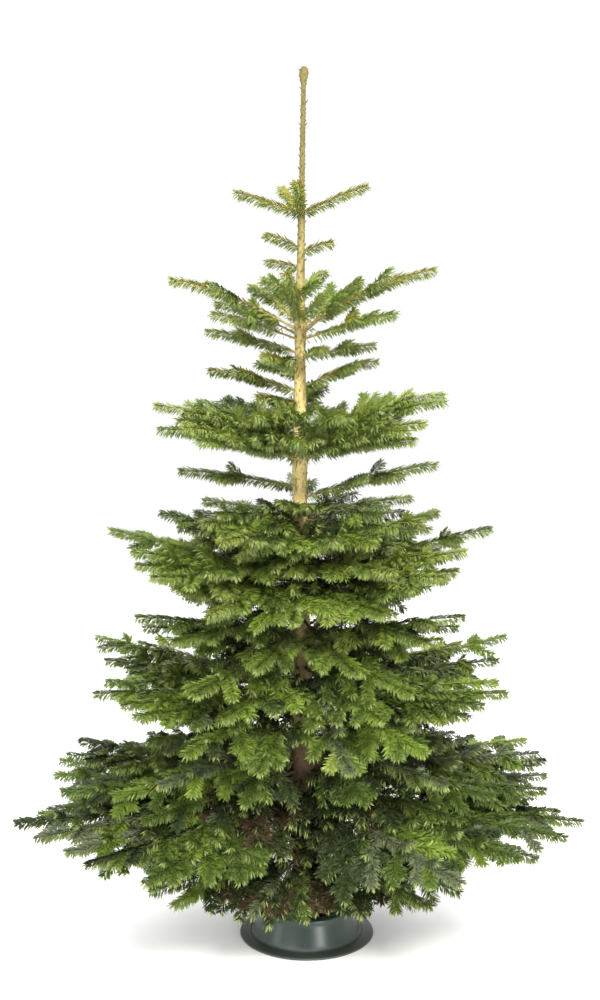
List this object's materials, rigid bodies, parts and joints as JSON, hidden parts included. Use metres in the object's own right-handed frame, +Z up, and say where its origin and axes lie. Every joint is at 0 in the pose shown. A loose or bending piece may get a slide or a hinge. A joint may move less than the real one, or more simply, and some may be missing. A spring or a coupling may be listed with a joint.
{
  "type": "christmas tree",
  "caption": "Undecorated cut fir with whorled boughs of flat needle sprays, standing in a conical moulded plastic stand.",
  "frame": {"origin": "centre of the stand's flat underside, on the floor", "axes": "+Z up along the stem; the pictured side faces -Y, with +X to its right"},
  "size_m": [1.2546, 1.0708, 2.007],
  "materials": {
    "stand_plastic": "satin dark green moulded plastic",
    "bark": "pale tan young bark with darker scars, rough",
    "foliage": "dense flat fir needles, slightly waxy"
  },
  "bodies": {
    "root": {"stand": "stand_plastic", "trunk": "bark", "ring_2_limb_1": "bark", "ring_2_limb_2": "bark", "ring_3_limb_1": "bark", "ring_3_limb_2": "bark", "ring_1_mass_1": "foliage", "ring_1_mass_2": "foliage", "ring_1_mass_3": "foliage", "ring_1_mass_4": "foliage", "between_1_mass_1": "foliage", "between_1_mass_2": "foliage", "between_1_mass_3": "foliage", "ring_2_mass_1": "foliage", "ring_2_mass_2": "foliage", "ring_2_mass_3": "foliage", "ring_2_mass_4": "foliage", "ring_2_mass_5": "foliage", "between_2_mass_1": "foliage", "between_2_mass_2": "foliage", "between_2_mass_3": "foliage", "between_2_mass_4": "foliage", "ring_3_mass_1": "foliage", "ring_3_mass_2": "foliage", "ring_3_mass_3": "foliage", "ring_3_mass_4": "foliage", "ring_3_mass_5": "foliage", "ring_3_mass_6": "foliage", "between_3_mass_1": "foliage", "between_3_mass_2": "foliage", "between_3_mass_3": "foliage", "between_3_mass_4": "foliage", "ring_4_mass_1": "foliage", "ring_4_mass_2": "foliage", "ring_4_mass_3": "foliage", "ring_4_mass_4": "foliage", "ring_4_mass_5": "foliage", "ring_4_mass_6": "foliage", "between_4_mass_1": "foliage", "between_4_mass_2": "foliage", "ring_5_mass_1": "foliage", "ring_5_mass_2": "foliage", "ring_5_mass_3": "foliage", "ring_5_mass_4": "foliage", "ring_5_mass_5": "foliage", "ring_5_mass_6": "foliage", "ring_5_mass_7": "foliage", "between_5_mass_1": "foliage", "between_5_mass_2": "foliage", "ring_6_mass_1": "foliage", "ring_6_mass_2": "foliage", "ring_6_mass_3": "foliage", "ring_6_mass_4": "foliage", "ring_6_mass_5": "foliage", "ring_6_mass_6": "foliage", "ring_6_mass_7": "foliage", "ring_7_mass_1": "foliage", "ring_7_mass_2": "foliage", "ring_7_mass_3": "foliage", "ring_7_mass_4": "foliage"}
  },
  "joints": []
}
